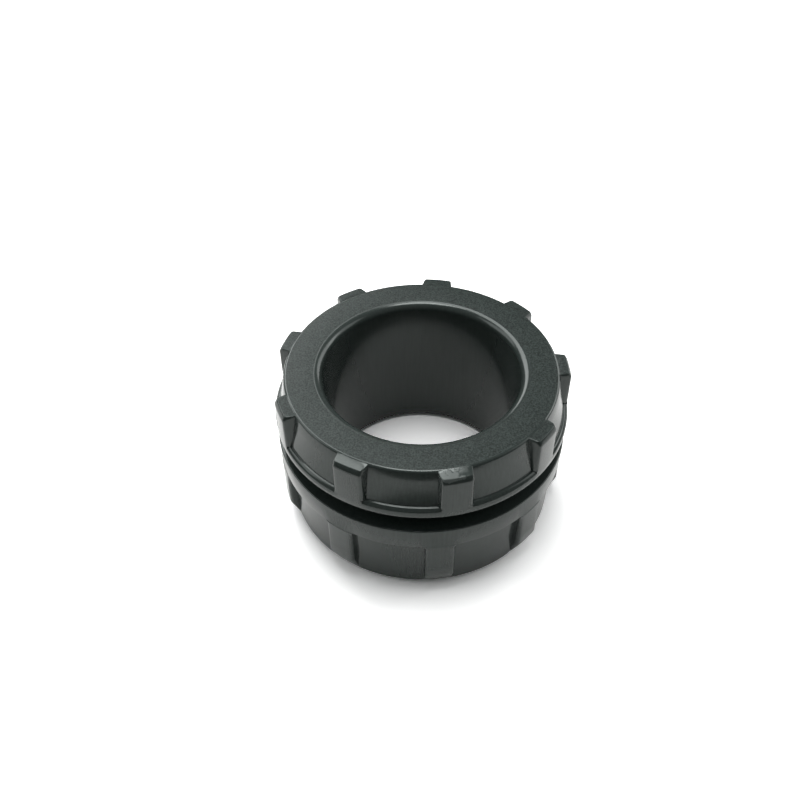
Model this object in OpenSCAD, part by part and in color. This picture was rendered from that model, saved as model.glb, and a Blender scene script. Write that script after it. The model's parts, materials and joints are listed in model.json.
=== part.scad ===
// Cable bushing for a panel hole: a lugged head on a threaded sleeve, and a ribbed ring nut.
// Millimetres, +Z up. The origin is on the axis, at the nut's lower face.
// The panel is clamped in the gap between the head's flange and the nut's rim.

/* [Bore and sleeve] */
// Clear diameter for the cables
bore_d = 34.4; // [28:0.1:37]
// Radius of the smooth lip at the bore's upper mouth
lip_r = 1.4; // [0.4:0.1:2]
// Outside diameter of the sleeve, over its thread
sleeve_d = 42.16; // [40:0.02:43.5]
// Height of the sleeve's lower end above the nut's lower face
sleeve_lift = 0.7; // [0:0.1:3]
// Edge rounding at the sleeve's lower mouth
mouth_r = 0.5; // [0.2:0.1:1]
// Lead-in chamfer at the lower end of the thread
sleeve_chamfer = 0.8; // [0.3:0.1:1.2]

/* [Head] */
// Height of the head, from the flange's underside to the flat face
head_h = 8.9; // [6:0.1:14]
// Diameter of the flat face at the top
face_d = 47.6; // [45:0.1:49]
// Rounding of the flat face's outer edge
face_edge_r = 0.5; // [0.2:0.1:1]
// Diameter of the tapered wall at its foot, on the flange
foot_d = 49.4; // [48.4:0.1:50.8]
// Diameter of the flange and of the lugs
flange_d = 51.8; // [51:0.1:58]
// Thickness of the flange
flange_t = 1.5; // [1:0.1:3]
// Rounding of the flange's lower edge
flange_edge_r = 0.3; // [0.1:0.1:0.6]

/* [Lugs and ribs] */
// Lugs on the head, and ribs on the nut
grip_count = 9; // [6:1:12]
// Width of a lug at its outer face
lug_w = 5.1; // [3:0.1:8]
// Extra width of a lug at its root
lug_flare = 1; // [0:0.1:1.5]
// Drop of a lug's top from the flat face to its outer edge
lug_drop = 0.1; // [0.05:0.05:0.8]
// Height of the bevel at a lug's outer edge
lug_bevel_h = 1.7; // [1:0.1:3]
// Lean of that bevel
lug_bevel_w = 0.3; // [0.1:0.05:0.8]
// Width of a rib at its outer face
rib_w = 5.1; // [3:0.1:8]
// Extra width of a rib at its root
rib_flare = 0; // [0:0.1:1.5]
// Height of the slope at a rib's lower end, from the wall out to the rib's face
rib_slope_h = 3.1; // [1:0.1:5]
// Rounding of the lugs' and ribs' upright outer edges
grip_edge_r = 0.6; // [0.2:0.1:1]

/* [Nut] */
// Height of the nut
nut_h = 16.9; // [16:0.1:24]
// How far the nut's rim and ribs stay inside the flange
rim_setback = 0.05; // [0:0.05:0.5]
// Height of the rim's foot, where the ribs begin, above the nut's lower face
rim_foot_h = 12.8; // [9:0.1:15.5]
// Lean of the rim, from its upper edge in to its foot
rim_lean = 0.1; // [0.05:0.05:0.3]
// Rounding of the rim's upper edge
rim_edge_r = 0.2; // [0.1:0.1:1]
// Height of the slope from the rim's foot in to the wall between the ribs
neck_h = 0.8; // [0.4:0.1:4]
// Thickness of the nut's wall between the ribs, at its lower edge
nut_wall = 3.15; // [2.7:0.05:3.7]
// Lean of that wall, from its lower edge out to its top
wall_draft = 0.4; // [0:0.05:0.6]
// Height of the bevel from that edge down to the nut's lower face
base_bevel_h = 1.3; // [0.3:0.1:2]
// Lean of that bevel
base_bevel_w = 1.1; // [0.3:0.1:1.4]
// Chamfer at both mouths of the nut's thread
nut_chamfer = 0.6; // [0.3:0.1:1]
// Radial clearance between the sleeve and the nut
thread_clearance = 0.08; // [0.05:0.01:0.1]
// Space for the panel, between the flange and the rim
panel_gap = 3.6; // [1:0.1:10]
// Turn of the nut's ribs from the head's lugs, in degrees
nut_turn = -5.5; // [-20:0.5:20]

/* [Hidden] */
$fn = 96;

bore_r = bore_d / 2;
sleeve_r = sleeve_d / 2;
face_r = face_d / 2;
foot_r = foot_d / 2;
flange_r = flange_d / 2;
rim_r = flange_r - rim_setback;
nut_bore_r = sleeve_r + thread_clearance;
base_r = nut_bore_r + nut_wall;
neck_r = base_r + wall_draft;

// Levels above the nut's lower face
flange_z = nut_h + panel_gap;
ledge_z = flange_z + flange_t;
face_z = flange_z + head_h;
// The lugs are rooted in the middle of the flange
lug_root_z = flange_z + flange_t / 2;

// Lean of the head's tapered wall from upright
wall_lean = atan2(foot_r - face_r, face_z - ledge_z);
// Depth to which lugs and ribs are rooted in the wall behind them
root_depth = 1.5;
arc_steps = 6;
plastic = [0.075, 0.08, 0.085];

// Points on a circle's arc, from angle a0 to a1
function arc(centre, radius, a0, a1) =
    [for (i = [0 : arc_steps])
        let (a = a0 + (a1 - a0) * i / arc_steps)
        centre + radius * [cos(a), sin(a)]];

// Half section of the head and its sleeve, as [radius, height] points
function head_section() =
    let (
        edge_x = face_r + face_edge_r * (1 - sin(wall_lean)) * tan(wall_lean)
            - face_edge_r * cos(wall_lean)
    )
    concat(
        [[sleeve_r - sleeve_chamfer, sleeve_lift]],
        [[sleeve_r, sleeve_lift + sleeve_chamfer]],
        [[sleeve_r, flange_z]],
        arc([flange_r - flange_edge_r, flange_z + flange_edge_r], flange_edge_r, 270, 360),
        [[flange_r, ledge_z], [foot_r, ledge_z]],
        arc([edge_x, face_z - face_edge_r], face_edge_r, wall_lean, 90),
        arc([bore_r + lip_r, face_z - lip_r], lip_r, 90, 180),
        arc([bore_r + mouth_r, sleeve_lift + mouth_r], mouth_r, 180, 270)
    );

// Half section of the ring that the lugs are cut from
function lug_section() = [
    [face_r - root_depth, lug_root_z],
    [flange_r, lug_root_z],
    [flange_r, face_z - lug_bevel_h],
    [flange_r - lug_bevel_w, face_z - lug_drop],
    [face_r - face_edge_r, face_z],
    [face_r - root_depth, face_z - lug_drop]
];

// Half section of the nut without its ribs
function nut_section() = concat(
    [[nut_bore_r + nut_chamfer, 0], [base_r - base_bevel_w, 0], [base_r, base_bevel_h]],
    [[neck_r, rim_foot_h - neck_h], [rim_r - rim_lean, rim_foot_h]],
    arc([rim_r - rim_edge_r, nut_h - rim_edge_r], rim_edge_r, 0, 90),
    [[nut_bore_r + nut_chamfer, nut_h]],
    [[nut_bore_r, nut_h - nut_chamfer], [nut_bore_r, nut_chamfer]]
);

// Half section of the ring that the ribs are cut from
function rib_section() = [
    [base_r - root_depth, base_bevel_h],
    [base_r, base_bevel_h],
    [rim_r, base_bevel_h + rib_slope_h],
    [rim_r, rim_foot_h],
    [base_r - root_depth, rim_foot_h]
];

// Plan of one lug or rib, pointing along +X, with rounded outer corners
module grip_plan(root_r, outer_r, width, flare) {
    half = width / 2;
    round_x = outer_r - grip_edge_r;
    round_y = half - grip_edge_r;
    polygon(concat(
        [[root_r - root_depth, -half - flare / 2]],
        arc([round_x, -round_y], grip_edge_r, -90, 0),
        arc([round_x, round_y], grip_edge_r, 0, 90),
        [[root_r - root_depth, half + flare / 2]]
    ));
}

// A ring of equal lugs or ribs with the given half section
module grips(section, root_r, outer_r, width, flare, height) {
    intersection() {
        rotate_extrude() polygon(section);
        linear_extrude(height)
            for (i = [0 : grip_count - 1])
                rotate(360 / grip_count * i) grip_plan(root_r, outer_r, width, flare);
    }
}

// The head with its flange, lugs and threaded sleeve, moulded in one
module bushing_head() {
    color(plastic) union() {
        rotate_extrude() polygon(head_section());
        grips(lug_section(), face_r, flange_r, lug_w, lug_flare, face_z + 1);
    }
}

// The nut with its ribs, turned to where it stands on the thread
module ring_nut() {
    color(plastic) rotate(nut_turn) union() {
        rotate_extrude() polygon(nut_section());
        grips(rib_section(), base_r, rim_r, rib_w, rib_flare, rim_foot_h + 1);
    }
}

bushing_head();
ring_nut();
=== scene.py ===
# %% [markdown]
# # A cable bushing for a panel hole
#
# The real object is two mouldings in black plastic. The head has a flat ring face, a smooth bore for the
# cables, nine lugs to hold it by and a threaded sleeve. The ring nut screws onto the sleeve from below, and
# the panel is clamped in the gap between them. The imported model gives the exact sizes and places, and this
# script dresses it: finer meshes, moulded plastic, a white table and soft light.

# %% Load the frame
import json
import math

import bmesh
import bpy
from mathutils import Euler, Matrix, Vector


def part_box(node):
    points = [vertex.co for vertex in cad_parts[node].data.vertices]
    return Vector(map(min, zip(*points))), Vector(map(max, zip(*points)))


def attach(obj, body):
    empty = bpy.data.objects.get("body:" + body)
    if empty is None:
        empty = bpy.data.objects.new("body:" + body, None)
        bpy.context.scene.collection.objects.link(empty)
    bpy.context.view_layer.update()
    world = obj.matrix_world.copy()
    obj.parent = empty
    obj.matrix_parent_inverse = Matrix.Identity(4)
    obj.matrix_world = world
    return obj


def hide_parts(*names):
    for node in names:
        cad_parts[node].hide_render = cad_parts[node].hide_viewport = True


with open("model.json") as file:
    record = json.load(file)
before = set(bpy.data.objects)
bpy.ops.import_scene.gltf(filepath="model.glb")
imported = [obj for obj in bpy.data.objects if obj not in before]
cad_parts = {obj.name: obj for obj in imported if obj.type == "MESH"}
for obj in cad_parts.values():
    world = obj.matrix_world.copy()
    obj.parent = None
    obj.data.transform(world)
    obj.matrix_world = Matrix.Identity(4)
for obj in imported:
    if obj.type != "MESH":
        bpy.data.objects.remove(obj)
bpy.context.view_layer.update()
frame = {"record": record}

MM = 0.001

# %% [markdown]
# ## Sizes
#
# What the frame knows is read from it: the node boxes give the heights and the flange, and the mounts give
# the bore and the flange's underside. Sizes of one piece are named where they are first needed. All of them
# are in millimetres, so that a reader can compare them with a ruler.

# %% Read the driving sizes
head_low, head_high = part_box("bushing_head")
nut_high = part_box("ring_nut")[1]
mounts = {mount["name"]: mount for mount in frame["record"]["mounts"]}

BORE_R = mounts["cable_bore"]["dims"]["r_mm"]
FLANGE_Z = mounts["panel_seat"]["pos_m"][2] / MM
FACE_Z = head_high[2] / MM
FLANGE_R = head_high[0] / MM
SLEEVE_END_Z = head_low[2] / MM
NUT_H = nut_high[2] / MM

SLEEVE_R = 21.08
GRIPS = 9
PITCH = math.tau / GRIPS
print(f"bore {BORE_R}, flange {FLANGE_R:.2f} at {FLANGE_Z:.2f}, face at {FACE_Z:.2f}, nut {NUT_H:.2f} tall")

# %% [markdown]
# ## Moulded grain
#
# Moulded plastic copies the surface of its mould. A smooth mould leaves fine streaks along the way that the
# part left it, and a textured mould leaves specks. One flat colour would show neither, and a picture of
# plastic would not fit these round walls. So the grain is a noise on Object coordinates, which stays with
# the piece when the nut turns, and a stretch below one draws it out along the axis. The same noise paints
# shade into the colour, darker in the grain's hollows and lighter on its peaks. All finishes need it, so it
# is a node group.

# %% Node group for moulded grain


def add_node(nodes, kind, sockets=None, **settings):
    """A new node with its settings, and with values on its input sockets."""
    node = nodes.new(kind)
    for name, value in settings.items():
        setattr(node, name, value)
    for socket, value in (sockets or {}).items():
        node.inputs[socket].default_value = value
    return node


def new_group(name, inputs, outputs):
    """An empty shader node group with named inputs and outputs that carry plain numbers."""
    group = bpy.data.node_groups.new(name, "ShaderNodeTree")
    for socket in inputs:
        group.interface.new_socket(socket, in_out="INPUT", socket_type="NodeSocketFloat")
    for socket in outputs:
        group.interface.new_socket(socket, in_out="OUTPUT", socket_type="NodeSocketFloat")
    return group


def make_moulded_grain():
    """A node group that gives a fine bump height, painted shade for the grain's hollows and peaks, and a
    slow change of gloss.
    """
    inputs = ("Grain per metre", "Stretch", "Gloss low", "Gloss high")
    group = new_group("moulded_grain", inputs, ("Height", "Hollow shade", "Roughness"))
    nodes, links = group.nodes, group.links
    inside = nodes.new("NodeGroupInput")
    outside = nodes.new("NodeGroupOutput")
    coords = nodes.new("ShaderNodeTexCoord")
    along = add_node(nodes, "ShaderNodeCombineXYZ", {"X": 1.0, "Y": 1.0})
    drawn = add_node(nodes, "ShaderNodeVectorMath", operation="MULTIPLY")
    grain = add_node(nodes, "ShaderNodeTexNoise", {"Detail": 3.0, "Roughness": 0.6})
    # Painted shade: where the grain is low the colour is darker, where it is high it is lighter.
    painted_hollow_shade = add_node(nodes, "ShaderNodeMapRange", {"From Min": 0.35, "From Max": 0.65})
    patches = add_node(nodes, "ShaderNodeTexNoise", {"Scale": 220.0, "Detail": 4.0})
    gloss = add_node(nodes, "ShaderNodeMapRange", {"From Min": 0.3, "From Max": 0.7})
    links.new(inside.outputs["Stretch"], along.inputs["Z"])
    links.new(coords.outputs["Object"], drawn.inputs[0])
    links.new(along.outputs["Vector"], drawn.inputs[1])
    links.new(drawn.outputs["Vector"], grain.inputs["Vector"])
    links.new(inside.outputs["Grain per metre"], grain.inputs["Scale"])
    links.new(grain.outputs["Fac"], painted_hollow_shade.inputs["Value"])
    links.new(coords.outputs["Object"], patches.inputs["Vector"])
    links.new(patches.outputs["Fac"], gloss.inputs["Value"])
    links.new(inside.outputs["Gloss low"], gloss.inputs["To Min"])
    links.new(inside.outputs["Gloss high"], gloss.inputs["To Max"])
    links.new(grain.outputs["Fac"], outside.inputs["Height"])
    links.new(painted_hollow_shade.outputs["Result"], outside.inputs["Hollow shade"])
    links.new(gloss.outputs["Result"], outside.inputs["Roughness"])
    return group


MOULDED_GRAIN = make_moulded_grain()
print("node group", MOULDED_GRAIN.name)

# %% [markdown]
# ## Four finishes of one plastic
#
# The sides are satin: they mirror the white table faintly, and brightly only at a glancing angle. The flat
# ring face is textured, so it scatters the light, and painted shade darkens the hollows of its grain. The
# bore is polished, without streaks.
# The fourth finish is the satin one again, kept apart because the next step adds a mark to it. One function
# makes them all, so that they stay the same black. What is the same all over a piece, such as the shine and
# its faint tint, is set on the shader's own sockets.

# %% Finishes of the plastic

BLACK = Vector((0.0205, 0.0265, 0.0245))
SHEEN = (0.93, 1.0, 0.97, 1.0)
PLASTIC_IOR = 1.45


def make_plastic(name, grain_per_metre, stretch, gloss, bump_height, hollow_shade_contrast, shine):
    """Black plastic with moulded grain: gloss is its lowest and highest roughness; the colour has painted
    shade, darker in the grain's hollows and lighter on its peaks, at the given contrast.
    """
    material = bpy.data.materials.new(name)
    material.use_nodes = True
    nodes, links = material.node_tree.nodes, material.node_tree.links
    shader = nodes["Principled BSDF"]
    shader.inputs["IOR"].default_value = PLASTIC_IOR
    shader.inputs["Specular IOR Level"].default_value = shine
    shader.inputs["Specular Tint"].default_value = SHEEN
    grain_values = {
        "Grain per metre": grain_per_metre,
        "Stretch": stretch,
        "Gloss low": gloss[0],
        "Gloss high": gloss[1],
    }
    grain = add_node(nodes, "ShaderNodeGroup", grain_values, node_tree=MOULDED_GRAIN)
    # Painted shade: the darker tone goes to the grain's hollows, the lighter one to its peaks.
    tones = {"A": (*(BLACK * (1 - hollow_shade_contrast)), 1.0), "B": (*(BLACK * (1 + hollow_shade_contrast)), 1.0)}
    colour = add_node(nodes, "ShaderNodeMix", tones, data_type="RGBA")
    bump = add_node(nodes, "ShaderNodeBump", {"Distance": bump_height * MM, "Strength": 1.0})
    links.new(grain.outputs["Hollow shade"], colour.inputs["Factor"])
    links.new(colour.outputs["Result"], shader.inputs["Base Color"])
    links.new(grain.outputs["Height"], bump.inputs["Height"])
    links.new(bump.outputs["Normal"], shader.inputs["Normal"])
    links.new(grain.outputs["Roughness"], shader.inputs["Roughness"])
    return material


smooth_mould = dict(grain_per_metre=2500.0, stretch=0.06, shine=0.5)
satin_look = dict(smooth_mould, gloss=(0.13, 0.18), bump_height=0.0004, hollow_shade_contrast=0.1)
polished_look = dict(smooth_mould, gloss=(0.14, 0.17), bump_height=0.0, hollow_shade_contrast=0.04)
textured_look = dict(
    grain_per_metre=3800.0, stretch=1.0, shine=0.16, gloss=(0.32, 0.38), bump_height=0.045, hollow_shade_contrast=0.65,
)
satin = make_plastic("satin_black_plastic", **satin_look)
textured = make_plastic("textured_black_plastic", **textured_look)
gated = make_plastic("gated_black_plastic", **satin_look)
polished = make_plastic("polished_black_plastic", **polished_look)
print("materials:", satin.name, textured.name, gated.name, polished.name)

# %% [markdown]
# ## The mark of the gate
#
# The mould was filled through a gate on one lug, the one nearest to the camera. Breaking the gate off left a
# rough pale patch on that lug's top and outer edge. Its colour is paler than the scar alone: part of it is a
# painted highlight, the light that the torn patch catches. It is far too thin for a piece of its own, so it
# is
# a mask in the material: the distance from an oval round the gate, which noise makes ragged. The same noise
# gives the patch its torn height.

# %% Pale patch where the gate was, with a painted highlight

GATE_ANGLE = math.radians(-80.0)
GATE_PLACE = (25.1, -0.9, FACE_Z - 0.2)
GATE_REACH = (1.2, 1.75, 0.5)
TEARS_PER_METRE = 1000.0
TEAR_REACH = 2.4
PATCH_ENDS = 2.4
PATCH_FULL = 2.05


def make_gate_mark():
    """A node group that gives a ragged mask and a torn height round the gate."""
    group = new_group("gate_mark", (), ("Mask", "Height"))
    nodes, links = group.nodes, group.links
    outside = nodes.new("NodeGroupOutput")
    coords = nodes.new("ShaderNodeTexCoord")
    turn = add_node(nodes, "ShaderNodeVectorRotate", {"Angle": -GATE_ANGLE}, rotation_type="Z_AXIS")
    shift = add_node(nodes, "ShaderNodeVectorMath", {1: Vector(GATE_PLACE) * MM}, operation="SUBTRACT")
    oval = add_node(nodes, "ShaderNodeVectorMath", {1: Vector(GATE_REACH) * MM}, operation="DIVIDE")
    distance = add_node(nodes, "ShaderNodeVectorMath", operation="LENGTH")
    torn = add_node(nodes, "ShaderNodeTexNoise", {"Scale": TEARS_PER_METRE, "Detail": 3.0})
    ragged = add_node(nodes, "ShaderNodeMath", {1: TEAR_REACH}, operation="MULTIPLY_ADD")
    mask = add_node(nodes, "ShaderNodeMapRange", {"From Min": PATCH_ENDS, "From Max": PATCH_FULL})
    height = add_node(nodes, "ShaderNodeMath", operation="MULTIPLY")
    links.new(coords.outputs["Object"], turn.inputs["Vector"])
    links.new(turn.outputs["Vector"], shift.inputs[0])
    links.new(shift.outputs["Vector"], oval.inputs[0])
    links.new(oval.outputs["Vector"], distance.inputs[0])
    links.new(coords.outputs["Object"], torn.inputs["Vector"])
    links.new(torn.outputs["Fac"], ragged.inputs[0])
    links.new(distance.outputs["Value"], ragged.inputs[2])
    links.new(ragged.outputs["Value"], mask.inputs["Value"])
    links.new(mask.outputs["Result"], height.inputs[0])
    links.new(torn.outputs["Fac"], height.inputs[1])
    links.new(mask.outputs["Result"], outside.inputs["Mask"])
    links.new(height.outputs["Value"], outside.inputs["Height"])
    return group


GATE_MARK = make_gate_mark()
gate_text = ", ".join(f"{place:.1f}" for place in GATE_PLACE)
print(f"gate mark at {gate_text} mm, turned {math.degrees(GATE_ANGLE):.0f} degrees")

# %% Mix the patch into the gated plastic

# Pale scar colour with a painted highlight in it, for the light that the torn patch catches.
GATE_SCAR_AND_HIGHLIGHT_COLOUR = (0.058, 0.067, 0.064, 1.0)
GATE_ROUGHNESS = 0.4
GATE_HEIGHT = 0.05


def add_gate_mark(material):
    """Mix the pale patch, with its painted highlight, into a plastic that make_plastic made."""
    nodes, links = material.node_tree.nodes, material.node_tree.links
    shader = nodes["Principled BSDF"]
    mark = add_node(nodes, "ShaderNodeGroup", node_tree=GATE_MARK)
    colour = add_node(nodes, "ShaderNodeMix", {"B": GATE_SCAR_AND_HIGHLIGHT_COLOUR}, data_type="RGBA")
    gloss = add_node(nodes, "ShaderNodeMix", {"B": GATE_ROUGHNESS})
    bump = add_node(nodes, "ShaderNodeBump", {"Distance": GATE_HEIGHT * MM})
    links.new(shader.inputs["Base Color"].links[0].from_socket, colour.inputs["A"])
    links.new(shader.inputs["Roughness"].links[0].from_socket, gloss.inputs["A"])
    links.new(shader.inputs["Normal"].links[0].from_socket, bump.inputs["Normal"])
    for mixed in (colour, gloss):
        links.new(mark.outputs["Mask"], mixed.inputs["Factor"])
    links.new(mark.outputs["Height"], bump.inputs["Height"])
    links.new(colour.outputs["Result"], shader.inputs["Base Color"])
    links.new(gloss.outputs["Result"], shader.inputs["Roughness"])
    links.new(bump.outputs["Normal"], shader.inputs["Normal"])


add_gate_mark(gated)
print(gated.name, "has", len(gated.node_tree.nodes), "nodes")

# %% [markdown]
# ## Section of the head
#
# The head without its lugs is a turned shape, so half a section describes it. The section starts at the
# sleeve's lower mouth, climbs the bore, rolls over the lip, crosses the face and comes down the tapered wall
# to the flange. Under the flange it follows the root of the thread. Between the lugs the flange has a
# bevelled shoulder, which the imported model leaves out: only a thin flat ledge is left above it, and that
# ledge is the bright line at the foot of the wall. Round edges could be bevelled later, but as arcs in the
# section they stay exact all the way round.

# %% Draw the head's section

FACE_R = 23.8
FOOT_R = 25.05
FLANGE_T = 1.95
LEDGE_Z = FLANGE_Z + FLANGE_T
LIP_R = 1.4
MOUTH_R = 0.5
EDGE_R = 0.5
FOOT_FILLET = 0.12
WALL_RING_DROP = 2.2
SHOULDER = 0.55
SHOULDER_CURVE = ((1.0, 0.0), (0.86, 0.06), (0.5, 0.4), (0.12, 0.8), (0.0, 1.0))
FLANGE_EDGE = 0.3
THREAD_DEPTH = 0.9
ROOT_R = SLEEVE_R - THREAD_DEPTH
SLEEVE_CHAMFER = 0.4


def arc(centre, radius, start, end, steps):
    """Points on an arc between two angles in degrees, ends included."""
    angles = [math.radians(start + (end - start) * i / steps) for i in range(steps + 1)]
    return [(centre[0] + radius * math.cos(a), centre[1] + radius * math.sin(a)) for a in angles]


lean = math.atan2(FOOT_R - FACE_R, FACE_Z - LEDGE_Z)
lean_degrees = math.degrees(lean)
tangent_share = math.cos(lean) - (1 - math.sin(lean)) * math.tan(lean)
edge_x = FACE_R - EDGE_R * tangent_share
foot_x = FOOT_R + FOOT_FILLET * tangent_share

wall_rings = (
    arc((edge_x, FACE_Z - EDGE_R), EDGE_R, 90, lean_degrees, 4)
    + [(FACE_R + WALL_RING_DROP * math.tan(lean), FACE_Z - WALL_RING_DROP)]
    + arc((foot_x, LEDGE_Z + FOOT_FILLET), FOOT_FILLET, 180 + lean_degrees, 270, 3)
)
shoulder = [(FLANGE_R - inset * SHOULDER, LEDGE_Z - drop * SHOULDER) for inset, drop in SHOULDER_CURVE]
flange_foot = arc((FLANGE_R - FLANGE_EDGE, FLANGE_Z + FLANGE_EDGE), FLANGE_EDGE, 0, -90, 4)
sleeve_foot = [(ROOT_R, SLEEVE_END_Z + SLEEVE_CHAMFER), (ROOT_R - SLEEVE_CHAMFER, SLEEVE_END_Z)]
head_section = (
    arc((BORE_R + MOUTH_R, SLEEVE_END_Z + MOUTH_R), MOUTH_R, 270, 180, 4)
    + arc((BORE_R + LIP_R, FACE_Z - LIP_R), LIP_R, 180, 90, 10)
    + wall_rings
    + shoulder
    + flange_foot
    + [(ROOT_R, FLANGE_Z)]
    + sleeve_foot
)
print(f"head section: {len(head_section)} points, wall leans {lean_degrees:.1f} degrees")

# %% [markdown]
# ## One ninth, repeated
#
# Head and nut are both turned shapes with nine equal grips. A section is drawn as a wire of (radius, height)
# points, and Blender's spin sweeps it round Z. After a full turn nine grips would have to be shaped. So only
# one ninth is swept, with the sector of a grip in its middle. The grip is pulled out of that ninth, and spin
# with duplicates then repeats it. The seams between the ninths are closed by merging their doubled points.

# %% Spin helpers

HALF_PANEL_STEPS = 7
MERGE_DISTANCE = 0.002


def section_wire(bm, points, turn):
    """A closed wire through (radius, height) points in mm, turned about Z by an angle in radians."""
    verts = []
    for radius, height in points:
        place = (radius * MM * math.cos(turn), radius * MM * math.sin(turn), height * MM)
        verts.append(bm.verts.new(place))
    edges = [bm.edges.new(pair) for pair in zip(verts, verts[1:] + verts[:1])]
    return verts + edges


def sweep(bm, geom, angle, steps, rise=0.0, duplicate=False):
    """Spin geometry about Z, with a rise in mm at each step, and return its last position."""
    spun = bmesh.ops.spin(
        bm, geom=geom, cent=(0, 0, 0), axis=(0, 0, 1), dvec=(0, 0, rise * MM), angle=angle, steps=steps,
        use_merge=False, use_normal_flip=False, use_duplicate=duplicate,
    )
    return spun["geom_last"]


def ninth(bm, section, root_half, grip_steps):
    """Sweep one ninth of a turned shape, with the sector of a grip in its middle."""
    wire = section_wire(bm, section, -PITCH / 2)
    grip_start = sweep(bm, wire, PITCH / 2 - root_half, HALF_PANEL_STEPS)
    grip_end = sweep(bm, grip_start, 2 * root_half, grip_steps)
    sweep(bm, grip_end, PITCH / 2 - root_half, HALF_PANEL_STEPS)


def merge_doubles(bm):
    """Merge points that lie on each other."""
    bmesh.ops.remove_doubles(bm, verts=bm.verts, dist=MERGE_DISTANCE * MM)


def repeat_round(bm):
    """Repeat one ninth all the way round, and close the seams."""
    whole = list(bm.verts) + list(bm.edges) + list(bm.faces)
    sweep(bm, whole, PITCH * (GRIPS - 1), GRIPS - 1, duplicate=True)
    merge_doubles(bm)


print(f"one ninth is {math.degrees(PITCH):.0f} degrees")

# %% [markdown]
# ## Lugs
#
# A lug is a square block that runs from the face down to the flange. It could be joined on by a Boolean, but
# that leaves long thin faces which shade badly. Here the wall faces of its sector are extruded, and each new
# ring is moved out to a ring of the lug. The upper half of the face's rounded edge stays as it is, so that
# its line runs on behind the lugs. A lug's sides lean together a little, as the mould's draft needs, and a
# short bevel lies between its top and its outer face.

# %% Rings of a lug

FIRST_LUG_RING = 2
LUG_BEVEL_H = 0.9
LUG_BEVEL_W = 0.45
BEVEL_EASE_W = 0.2 * LUG_BEVEL_W
BEVEL_EASE_H = 0.13
LUG_FACE_DROPS = (0.1, 0.4)
LUG_FACE_RISES = (3.6, 1.9, 0.7, 0.0)
LUG_FOOT_SHARES = (0.2, 0.4, 0.6, 0.8, 1.0)

lug_wall = wall_rings[FIRST_LUG_RING:] + shoulder
LUG_ROOT_R, LUG_TOP_Z = lug_wall[0]
BEVEL_FOOT_Z = FACE_Z - LUG_BEVEL_H
lug_rings = (
    [(FLANGE_R - LUG_BEVEL_W, LUG_TOP_Z), (FLANGE_R - BEVEL_EASE_W, BEVEL_FOOT_Z + BEVEL_EASE_H)]
    + [(FLANGE_R, BEVEL_FOOT_Z - drop) for drop in LUG_FACE_DROPS]
    + [(FLANGE_R, LEDGE_Z + rise) for rise in LUG_FACE_RISES]
    + [(FLANGE_R, LEDGE_Z - share * SHOULDER) for share in LUG_FOOT_SHARES]
)
print(f"lug: {len(lug_rings)} rings on {len(lug_wall)} wall rings, top at {LUG_TOP_Z:.2f}")

# %% Points on rings

CLOSE = 0.01


def polar(co):
    """Radius and height in mm, and the angle in radians, of a point."""
    return math.hypot(co.x, co.y) / MM, co.z / MM, math.atan2(co.y, co.x)


def place_polar(vert, radius, height, angle):
    """Put a vertex at a radius and height in mm and an angle in radians."""
    vert.co = Vector((radius * math.cos(angle), radius * math.sin(angle), height)) * MM


def near(a, b):
    """True for two lengths in mm that are as good as equal."""
    return abs(a - b) < CLOSE


def ring_key(radius, height):
    """A radius and height in mm, rounded so that all points of a ring share one key."""
    return round(radius, 3), round(height, 3)


flange_point = Vector((0, FLANGE_R, FLANGE_Z)) * MM
print("radius, height and angle of a point on the flange:", [round(c, 2) for c in polar(flange_point)])

# %% Pull a grip out of a turned shape

CLOSE_ANGLE = 1e-4


def pull_grip(bm, wall, grip, root_half, tip_half):
    """Extrude one sector of the wall's rings, and move each new ring to the grip's ring of that number."""
    number = {ring_key(radius, height): i for i, (radius, height) in enumerate(wall)}

    def ring_of(vert):
        radius, height, angle = polar(vert.co)
        if abs(angle) > root_half + CLOSE_ANGLE:
            return None
        return number.get(ring_key(radius, height))

    faces = [f for f in bm.faces if all(ring_of(v) is not None for v in f.verts)]
    pulled = bmesh.ops.extrude_face_region(bm, geom=faces)
    moved = [v for v in pulled["geom"] if isinstance(v, bmesh.types.BMVert)]
    half = [max(abs(polar(v.co)[2]) for v in moved if ring_of(v) == i) for i in range(len(wall))]
    for vert in moved:
        wall_radius, _, angle = polar(vert.co)
        ring = ring_of(vert)
        radius, height = grip[ring]
        narrowing = 1.0 if near(radius, wall_radius) else tip_half / half[ring]
        place_polar(vert, radius, height, angle * narrowing)
    bmesh.ops.delete(bm, geom=faces, context="FACES")
    merge_doubles(bm)
    print(f"{len(faces)} wall faces pulled out")


print(f"a grip's points are told apart to {CLOSE} mm and {CLOSE_ANGLE} radians")

# %% [markdown]
# ## Soft edges and sharp creases
#
# No moulded edge is quite sharp, and its narrow round is what catches the light. So the upright corners of
# the lugs and ribs and the edges round a lug's top are bevelled while there is still only one ninth. A
# finished piece is shaded smooth, apart from the creases that are steeper than such a round.

# %% Find and round the edges of a grip

CORNER_SEGMENTS = 4


def grip_corners(bm, grip, root_half, tip_half):
    """The long edges of a grip, where its outer rings meet its two sides."""
    rings = {ring_key(radius, height) for radius, height in grip}

    def on_corner(vert):
        radius, height, angle = polar(vert.co)
        on_ring = ring_key(radius, height) in rings
        return on_ring and tip_half - CLOSE_ANGLE < abs(angle) < root_half + CLOSE_ANGLE

    return [e for e in bm.edges if all(on_corner(v) for v in e.verts)]


def soften(bm, edges, offset, segments, offset_type="OFFSET"):
    """Bevel edges to a round: the offset is in metres, or a share of the sides in percent."""
    bmesh.ops.bevel(
        bm, geom=edges, offset=offset, offset_type=offset_type, affect="EDGES",
        segments=segments, profile=0.5, material=-1, clamp_overlap=True,
    )


print(f"a grip's corners are rounded in {CORNER_SEGMENTS} segments")

# %% Make a piece of a finished bmesh

CREASE_ANGLE = math.radians(32.0)


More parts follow.
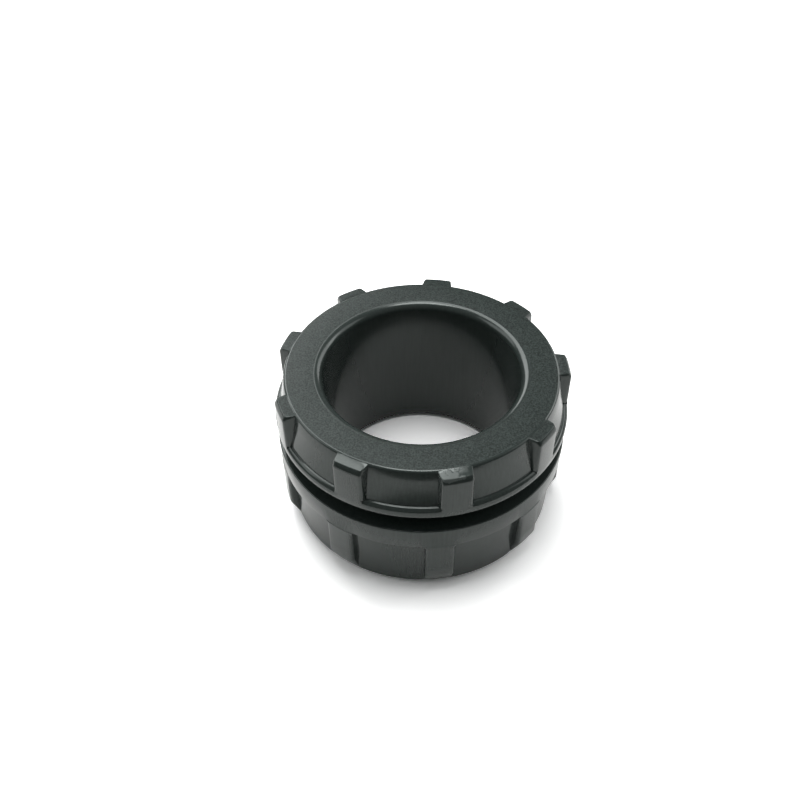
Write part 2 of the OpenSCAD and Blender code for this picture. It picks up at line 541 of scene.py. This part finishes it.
def finish_piece(name, bm, materials):
    """Turn a bmesh into a smooth-shaded piece with sharp creases, at the origin."""
    merge_doubles(bm)
    bmesh.ops.recalc_face_normals(bm, faces=bm.faces)
    for face in bm.faces:
        face.smooth = True
    for edge in bm.edges:
        edge.smooth = len(edge.link_faces) == 2 and edge.calc_face_angle() < CREASE_ANGLE
    mesh = bpy.data.meshes.new(name)
    bm.to_mesh(mesh)
    open_edges = sum(not edge.is_manifold for edge in bm.edges)
    bm.free()
    for material in materials:
        mesh.materials.append(material)
    piece = bpy.data.objects.new(name, mesh)
    bpy.context.scene.collection.objects.link(piece)
    print(f"{name}: {len(mesh.polygons)} faces, {open_edges} open edges")
    return piece


print(f"creases are sharp from {math.degrees(CREASE_ANGLE):.0f} degrees")

# %% [markdown]
# ## The head
#
# The flange's columns of points are shifted first, so that they meet the narrower outer end of a lug. Then
# the lug is pulled out, softened and repeated. The head is one moulding, so its finishes are materials of
# one mesh: the ring face and most lug tops are textured, the bore is polished and the rest is satin. The
# tops of the gated lug and of the one beside it are smooth too.

# %% Columns and edges of a lug

LUG_ROOT_HALF = math.radians(6.73)
LUG_TIP_HALF = math.radians(5.64)
TOP_EDGE_ANGLE = math.radians(40.0)
TOP_ROOT_MARGIN = 0.05


def squeeze_angle(angle):
    """Shift the flange's columns so that they meet the narrower outer end of a lug."""
    size = abs(angle)
    if size <= LUG_ROOT_HALF:
        return angle * LUG_TIP_HALF / LUG_ROOT_HALF
    share = (size - LUG_ROOT_HALF) / (PITCH / 2 - LUG_ROOT_HALF)
    return math.copysign(LUG_TIP_HALF + share * (PITCH / 2 - LUG_TIP_HALF), angle)


def lug_top_edges(bm):
    """The edges round a lug's top: along its two sides, its corners and its outer end."""
    root = LUG_ROOT_R + TOP_ROOT_MARGIN
    level = [e for e in bm.edges if all(near(v.co.z / MM, LUG_TOP_Z) for v in e.verts)]
    outside = [e for e in level if max(polar(v.co)[0] for v in e.verts) > root]
    return [e for e in outside if len(e.link_faces) == 2 and e.calc_face_angle() > TOP_EDGE_ANGLE]


print(f"lug: {2 * LUG_TIP_HALF * FLANGE_R:.1f} mm wide at its outer end")

# %% Build the head

LUG_STEPS = 6
LUG_EDGE_R = 0.38
LUG_TOP_EDGE_R = 0.2
TOP_SEGMENTS = 3
BORE_MARGIN = 0.1
SMOOTH_LUGS = (GATE_ANGLE, GATE_ANGLE - PITCH)
HEAD_FINISHES = [gated, textured, polished]
SMOOTH, TEXTURED, POLISHED = range(len(HEAD_FINISHES))


def finish_of(face):
    """The place in HEAD_FINISHES of a face's finish."""
    if all(near(v.co.z / MM, FACE_Z) for v in face.verts):
        return TEXTURED
    radius, _, angle = polar(face.calc_center_median())
    if radius < BORE_R + BORE_MARGIN:
        return POLISHED
    if radius < LUG_ROOT_R or any(not near(v.co.z / MM, LUG_TOP_Z) for v in face.verts):
        return SMOOTH
    on_smooth_lug = any(abs(angle - lug) <= LUG_ROOT_HALF for lug in SMOOTH_LUGS)
    return SMOOTH if on_smooth_lug else TEXTURED


def build_head():
    """The head with its lugs and sleeve, as one closed mesh."""
    bm = bmesh.new()
    ninth(bm, head_section, LUG_ROOT_HALF, LUG_STEPS)
    for vert in bm.verts:
        radius, height, angle = polar(vert.co)
        if radius > FLANGE_R - SHOULDER - CLOSE:
            place_polar(vert, radius, height, squeeze_angle(angle))
    pull_grip(bm, lug_wall, lug_rings, LUG_ROOT_HALF, LUG_TIP_HALF)
    corners = grip_corners(bm, lug_rings, LUG_TIP_HALF, LUG_TIP_HALF)
    above_ledge = [e for e in corners if max(v.co.z for v in e.verts) > (LEDGE_Z + CLOSE) * MM]
    soften(bm, above_ledge, LUG_EDGE_R * MM, CORNER_SEGMENTS)
    soften(bm, lug_top_edges(bm), LUG_TOP_EDGE_R * MM, TOP_SEGMENTS)
    repeat_round(bm)
    for face in bm.faces:
        face.material_index = finish_of(face)
    return bm


head_piece = finish_piece("bushing_head_moulding", build_head(), HEAD_FINISHES)
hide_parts("bushing_head")
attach(head_piece, "head")

# %% [markdown]
# ## The thread
#
# The sleeve's thread shows in the gap, where the panel goes. A stack of rings would look right from the
# side, but it would not climb. Spin can move along its axis while it turns, so one small trapezium becomes
# the whole right-hand thread. It stands on the sleeve's root and reaches the radius of the plain sleeve in
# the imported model.

# %% Build the sleeve's thread

THREAD_PITCH = 2.2
THREAD_START = SLEEVE_END_Z + 1.1
THREAD_END = FLANGE_Z - 0.9
THREAD_SINK = 0.15
CREST_HALF = 0.2
FLANK_HALF = 0.85
STEPS_A_TURN = 72


def edges_of(geom):
    """The edges in a list of mixed geometry."""
    return [g for g in geom if isinstance(g, bmesh.types.BMEdge)]


def build_thread():
    """A closed ridge that climbs round the sleeve."""
    bm = bmesh.new()
    sunk = ROOT_R - THREAD_SINK
    points = [
        (sunk, THREAD_START - FLANK_HALF),
        (SLEEVE_R, THREAD_START - CREST_HALF),
        (SLEEVE_R, THREAD_START + CREST_HALF),
        (sunk, THREAD_START + FLANK_HALF),
    ]
    wire = section_wire(bm, points, 0.0)
    bmesh.ops.contextual_create(bm, geom=edges_of(wire))
    turns = (THREAD_END - THREAD_START) / THREAD_PITCH
    steps = round(turns * STEPS_A_TURN)
    last = sweep(bm, wire, turns * math.tau, steps, rise=(THREAD_END - THREAD_START) / steps)
    bmesh.ops.contextual_create(bm, geom=edges_of(last))
    print(f"thread: {turns:.1f} turns of {THREAD_PITCH} mm")
    return bm


thread_piece = finish_piece("sleeve_thread", build_thread(), [satin])
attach(thread_piece, "head")

# %% [markdown]
# ## The ring nut
#
# The nut is made in the same way as the head, with the same helpers. Below its plain rim the wall steps
# inwards, and the ribs are pulled out of it, flush with the rim. Their lower ends slope back into the wall.

# %% Section of the nut

RIM_SETBACK = 0.05
RIM_R = FLANGE_R - RIM_SETBACK
RIM_LEAN = 0.1
RIM_EDGE = 0.2
RIM_FOOT_Z = 12.8
RIM_FOOT_EDGE = 0.15
THREAD_CLEARANCE = 0.08
NUT_BORE_R = SLEEVE_R + THREAD_CLEARANCE
NUT_CHAMFER = 0.6
NUT_WALL = 3.15
WALL_DRAFT = 0.4
BASE_R = NUT_BORE_R + NUT_WALL
NECK_R = BASE_R + WALL_DRAFT
NECK_H = 0.8
NECK_Z = RIM_FOOT_Z - NECK_H
BASE_BEVEL_H = 1.3
BASE_BEVEL_W = 1.1
BASE_EDGE_W = 0.12
BASE_EDGE_H = 0.08


def wall_r(height):
    """Radius of the wall between the ribs at a height."""
    return BASE_R + (NECK_R - BASE_R) * (height - BASE_BEVEL_H) / (NECK_Z - BASE_BEVEL_H)


RIB_SLOPE_H = 3.1
RIB_SLOPE_EASE = 0.3
RIB_FACE_FOOT_Z = BASE_BEVEL_H + RIB_SLOPE_H + RIB_SLOPE_EASE
RIB_FACE_HEIGHTS = (NECK_Z, 9.5, 7.0, RIB_FACE_FOOT_Z)
RIB_TOP_RINGS = ((0.06, 0.15), (0.0, 0.3), (0.0, 0.45), (0.0, 0.6))
RIB_SLOPE_RINGS = ((0.28, 3.9), (1.0, 2.4))

nut_wall = (
    arc((RIM_R - RIM_LEAN - RIM_FOOT_EDGE, RIM_FOOT_Z), RIM_FOOT_EDGE, 0, -60, 3)
    + [(wall_r(height), height) for height in RIB_FACE_HEIGHTS]
    + [(wall_r(height), height) for _, height in RIB_SLOPE_RINGS]
    + [(BASE_R, BASE_BEVEL_H)]
)
rib_rings = (
    [(RIM_R - inset, RIM_FOOT_Z - drop) for inset, drop in RIB_TOP_RINGS]
    + [(RIM_R, height) for height in RIB_FACE_HEIGHTS]
    + [(RIM_R - inset, height) for inset, height in RIB_SLOPE_RINGS]
    + [(BASE_R, BASE_BEVEL_H)]
)
nut_section = (
    [(NUT_BORE_R + NUT_CHAMFER, 0.0), (NUT_BORE_R, NUT_CHAMFER), (NUT_BORE_R, NUT_H - NUT_CHAMFER)]
    + [(NUT_BORE_R + NUT_CHAMFER, NUT_H)]
    + arc((RIM_R - RIM_EDGE, NUT_H - RIM_EDGE), RIM_EDGE, 90, 0, 4)
    + nut_wall
    + [(BASE_R - BASE_BEVEL_W + BASE_EDGE_W, BASE_EDGE_H), (BASE_R - BASE_BEVEL_W, 0.0)]
)
print(f"nut section: {len(nut_section)} points, {len(nut_wall)} of them on the ribs' wall")

# %% Build the nut

NUT_TURN = math.radians(-5.5)
RIB_ROOT_HALF = math.radians(5.95)
RIB_TIP_HALF = math.radians(5.66)
RIB_STEPS = 4
RIB_EDGE_PERCENT = 45


def build_nut():
    """The nut with its ribs, turned to where it stands in the photograph."""
    bm = bmesh.new()
    ninth(bm, nut_section, RIB_ROOT_HALF, RIB_STEPS)
    pull_grip(bm, nut_wall, rib_rings, RIB_ROOT_HALF, RIB_TIP_HALF)
    corners = grip_corners(bm, rib_rings, RIB_ROOT_HALF, RIB_TIP_HALF)
    soften(bm, corners, RIB_EDGE_PERCENT, CORNER_SEGMENTS, offset_type="PERCENT")
    repeat_round(bm)
    bmesh.ops.rotate(bm, verts=bm.verts, cent=(0, 0, 0), matrix=Euler((0, 0, NUT_TURN)).to_matrix())
    return bm


nut_piece = finish_piece("ring_nut_moulding", build_nut(), [satin])
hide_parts("ring_nut")
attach(nut_piece, "nut")

# %% [markdown]
# ## White table
#
# The part stands on a white sheet that ends just in front of the picture. Black plastic shows what it
# reflects: upright walls mirror the sheet, and leaning walls look out to its front edge, so the place of
# that edge sets how dark they are. The sheet is a little brighter to the camera than to the part. That lets
# it run out to plain white without more light on the part.

# %% Build the white sheet

SHEET_HALF = 0.9
SHEET_FRONT_Y = -0.079
SHEET_COLOUR = (0.93, 0.93, 0.92, 1.0)
SHEET_TO_CAMERA = (1.3, 1.3, 1.3, 1.0)


def make_paper():
    """Plain white paper that is brighter to the camera."""
    paper = bpy.data.materials.new("white_sheet")
    paper.use_nodes = True
    nodes, links = paper.node_tree.nodes, paper.node_tree.links
    nodes.clear()
    path = nodes.new("ShaderNodeLightPath")
    tone = add_node(nodes, "ShaderNodeMix", {"A": SHEET_COLOUR, "B": SHEET_TO_CAMERA}, data_type="RGBA")
    shader = nodes.new("ShaderNodeBsdfDiffuse")
    out = nodes.new("ShaderNodeOutputMaterial")
    links.new(path.outputs["Is Camera Ray"], tone.inputs["Factor"])
    links.new(tone.outputs["Result"], shader.inputs["Color"])
    links.new(shader.outputs["BSDF"], out.inputs["Surface"])
    return paper


def build_sheet():
    """A large white sheet under the part, with its front edge near the picture's lower edge."""
    bm = bmesh.new()
    bmesh.ops.create_grid(bm, x_segments=1, y_segments=1, size=SHEET_HALF)
    bmesh.ops.translate(bm, verts=bm.verts, vec=(0, SHEET_HALF + SHEET_FRONT_Y, 0))
    mesh = bpy.data.meshes.new("white_sheet")
    bm.to_mesh(mesh)
    bm.free()
    mesh.materials.append(make_paper())
    sheet = bpy.data.objects.new("white_sheet", mesh)
    bpy.context.scene.collection.objects.link(sheet)
    return sheet


sheet = build_sheet()
print("sheet", SHEET_HALF * 2, "m wide")

# %% [markdown]
# ## Room and lights
#
# A lamp hangs above the part, a wide window is behind it to the left and a fainter one to the right, and two
# fills light the sheet from the sides. The room is dim otherwise. An evenly bright world would be simpler,
# but it would turn the black plastic grey and leave nothing for the rounded edges to catch. Area lights are
# soft and have a clear shape, which shows in the glossy walls.

# %% Build the room

ROOM_LOW = (0.10, 0.105, 0.10, 1.0)
ROOM_MIDDLE = (0.20, 0.205, 0.20, 1.0)
ROOM_HIGH = (0.30, 0.31, 0.31, 1.0)
MIDDLE_AT = 0.35


def build_room():
    """A world that is white to the camera and a dim soft room to everything else."""
    world = bpy.data.worlds.new("studio_room")
    bpy.context.scene.world = world
    world.use_nodes = True
    nodes, links = world.node_tree.nodes, world.node_tree.links
    nodes.clear()
    coords = nodes.new("ShaderNodeTexCoord")
    split = nodes.new("ShaderNodeSeparateXYZ")
    ramp = nodes.new("ShaderNodeValToRGB")
    stops = ramp.color_ramp.elements
    stops[0].color = ROOM_LOW
    stops[1].color = ROOM_HIGH
    stops.new(MIDDLE_AT).color = ROOM_MIDDLE
    room = nodes.new("ShaderNodeBackground")
    white = add_node(nodes, "ShaderNodeBackground", {"Color": (1, 1, 1, 1)})
    path = nodes.new("ShaderNodeLightPath")
    mix = nodes.new("ShaderNodeMixShader")
    out = nodes.new("ShaderNodeOutputWorld")
    links.new(coords.outputs["Generated"], split.inputs["Vector"])
    links.new(split.outputs["Z"], ramp.inputs["Fac"])
    links.new(ramp.outputs["Color"], room.inputs["Color"])
    links.new(path.outputs["Is Camera Ray"], mix.inputs["Fac"])
    links.new(room.outputs["Background"], mix.inputs[1])
    links.new(white.outputs["Background"], mix.inputs[2])
    links.new(mix.outputs["Shader"], out.inputs["Surface"])
    return world


print("world", build_room().name)

# %% Hang the lamp, the windows and the fills

LIGHT_AIM = Vector((0, 0, 0.01))
LIGHTS = {
    "lamp": dict(place=(-0.01, 0.055, 0.70), size=(0.28, 0.28), power=2.55),
    "window": dict(place=(-0.13, 0.285, 0.345), size=(0.28, 0.40), power=1.75),
    "far_window": dict(place=(0.42, 0.30, 0.28), size=(0.45, 0.30), power=1.2),
    "fill_right": dict(place=(0.60, 0.05, 0.42), size=(0.5, 0.4), power=1.0),
    "fill_left": dict(place=(-0.60, 0.10, 0.42), size=(0.5, 0.4), power=1.35),
}


def add_light(name, place, size, power):
    """A soft rectangular light that faces the part: place and size in metres, power in watts."""
    area = bpy.data.lights.new(name, "AREA")
    area.shape = "RECTANGLE"
    area.size, area.size_y = size
    area.energy = power
    light = bpy.data.objects.new(name, area)
    light.location = place
    light.rotation_euler = (LIGHT_AIM - Vector(place)).to_track_quat("-Z", "Y").to_euler()
    bpy.context.scene.collection.objects.link(light)


for light_name, light_values in LIGHTS.items():
    add_light(light_name, **light_values)
print("lights:", ", ".join(LIGHTS))

# %% [markdown]
# ## Camera
#
# The photograph was taken with a short lens close to the part, looking down at about 45 degrees. Setting
# three angles by hand is hard to get right, so the camera is aimed at a point with to_track_quat, which
# turns its view, the -Z axis, that way. A small roll about the view then levels the rings as in the
# photograph.

# %% Place the camera

LENS = 40.5
SENSOR_W = 36.0
NEAREST = 0.01
ROLL = math.radians(-0.72)
SHIFT = (-0.00125, 0.0003)
CAMERA_PLACE = Vector((-6.4, -114.5, 134.6)) * MM
CAMERA_AIM = Vector((-3.42, 7.50, 14.23)) * MM


def add_camera():
    """The photograph's view of the part."""
    camera = bpy.data.objects.new("camera", bpy.data.cameras.new("camera"))
    camera.data.lens = LENS
    camera.data.sensor_width = SENSOR_W
    camera.data.clip_start = NEAREST
    camera.data.shift_x, camera.data.shift_y = SHIFT
    camera.location = CAMERA_PLACE
    look = (CAMERA_AIM - CAMERA_PLACE).to_track_quat("-Z", "Y")
    camera.rotation_euler = (look.to_matrix() @ Euler((0, 0, ROLL)).to_matrix()).to_euler()
    bpy.context.scene.collection.objects.link(camera)
    bpy.context.scene.camera = camera


add_camera()
bpy.context.scene.view_settings.view_transform = "Standard"
print("camera", [round(c / MM, 1) for c in CAMERA_PLACE], "mm")
